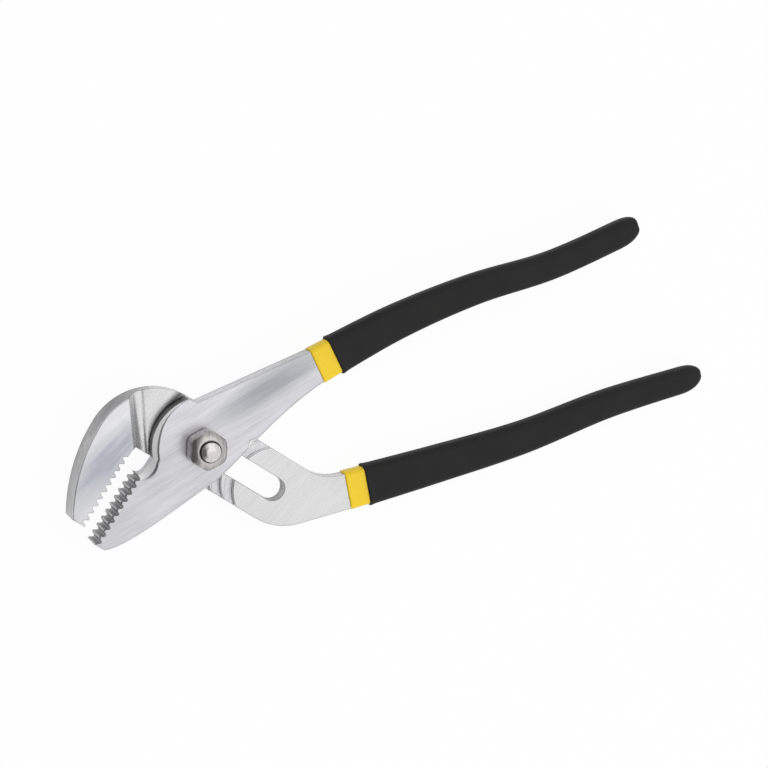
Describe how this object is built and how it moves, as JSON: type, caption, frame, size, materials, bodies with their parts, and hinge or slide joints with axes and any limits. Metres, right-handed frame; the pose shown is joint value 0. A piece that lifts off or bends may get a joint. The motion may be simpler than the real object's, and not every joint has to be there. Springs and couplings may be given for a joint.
{
  "type": "water pump pliers",
  "caption": "Groove-joint water pump pliers: slotted rear lever, front lever on a sliding bolt, angled toothed jaws and two-colour dipped handles.",
  "frame": {"origin": "on the pivot bolt's axis, at the flat outer face of the bolt head", "axes": "+X along the tool from the jaws to the handles, +Y from the rear handle to the front handle, +Z along the bolt from its head to the nut"},
  "size_m": [0.247, 0.0747, 0.0242],
  "materials": {
    "lever_steel": "bright brushed and polished forging",
    "fastener_steel": "plated, darker and glossier than the levers",
    "yellow_dip": "smooth dipped vinyl",
    "black_dip": "satin dipped vinyl"
  },
  "bodies": {
    "rear_half": {"rear_lever": "lever_steel", "rear_yellow_underdip": "yellow_dip", "rear_black_grip": "black_dip"},
    "pivot": {"pivot_bolt": "fastener_steel", "pivot_nut": "fastener_steel"},
    "front_half": {"front_lever": "lever_steel", "front_yellow_underdip": "yellow_dip", "front_black_grip": "black_dip"}
  },
  "joints": [
    {"name": "pivot_slide", "type": "slide", "parent": "rear_half", "child": "pivot", "axis": [0.6428, -0.766, 0], "range_m": [0, 0.0324]},
    {"name": "jaw_hinge", "type": "hinge", "parent": "pivot", "child": "front_half", "pos_m": [0, 0, 0.0114], "axis": [0, 0, 1], "range_deg": [-7, 45]}
  ]
}
